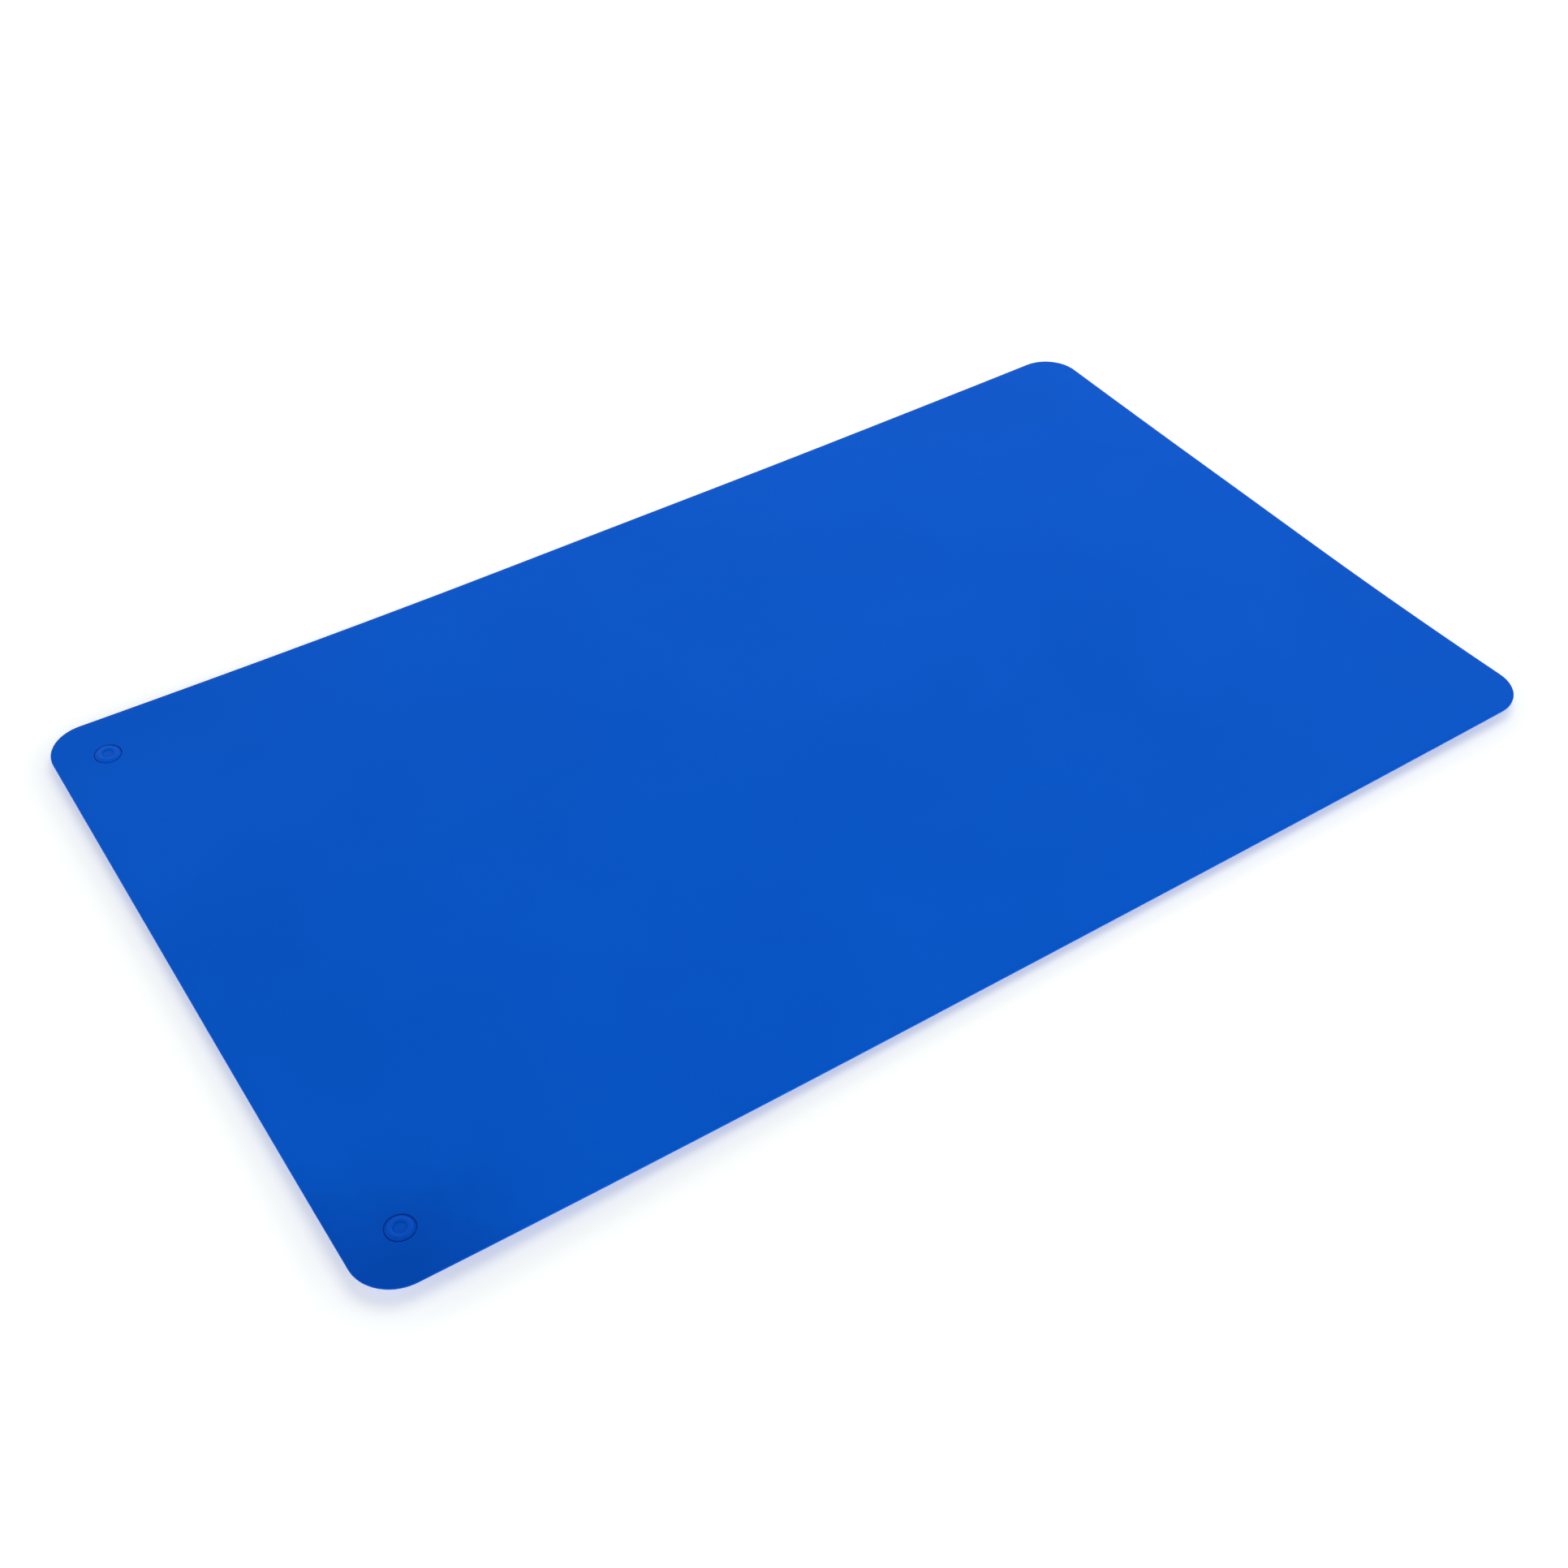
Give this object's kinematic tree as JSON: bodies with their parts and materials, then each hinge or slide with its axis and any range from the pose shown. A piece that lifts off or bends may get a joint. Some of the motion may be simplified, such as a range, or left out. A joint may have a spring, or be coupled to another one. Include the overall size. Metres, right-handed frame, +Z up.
{
  "type": "flexible work mat",
  "caption": "Thin flexible rectangular work mat with rounded corners, a slightly lifted rim, and low press-through studs near the corners of one short side.",
  "frame": {"origin": "under the middle of the mat, on the surface it lies on", "axes": "+X along the length, away from the short side with the studs; +Y across the width, towards the back; +Z up, out of the working face"},
  "size_m": [0.5, 0.3, 0.0071],
  "materials": {
    "sheet": "smooth matt blue, very finely grained, one colour right through",
    "stud": "satin moulded plastic in the sheet's own blue"
  },
  "bodies": {
    "root": {"mat_sheet": "sheet", "stud_head_front": "stud", "stud_washer_front": "stud", "stud_head_back": "stud", "stud_washer_back": "stud"}
  },
  "joints": []
}
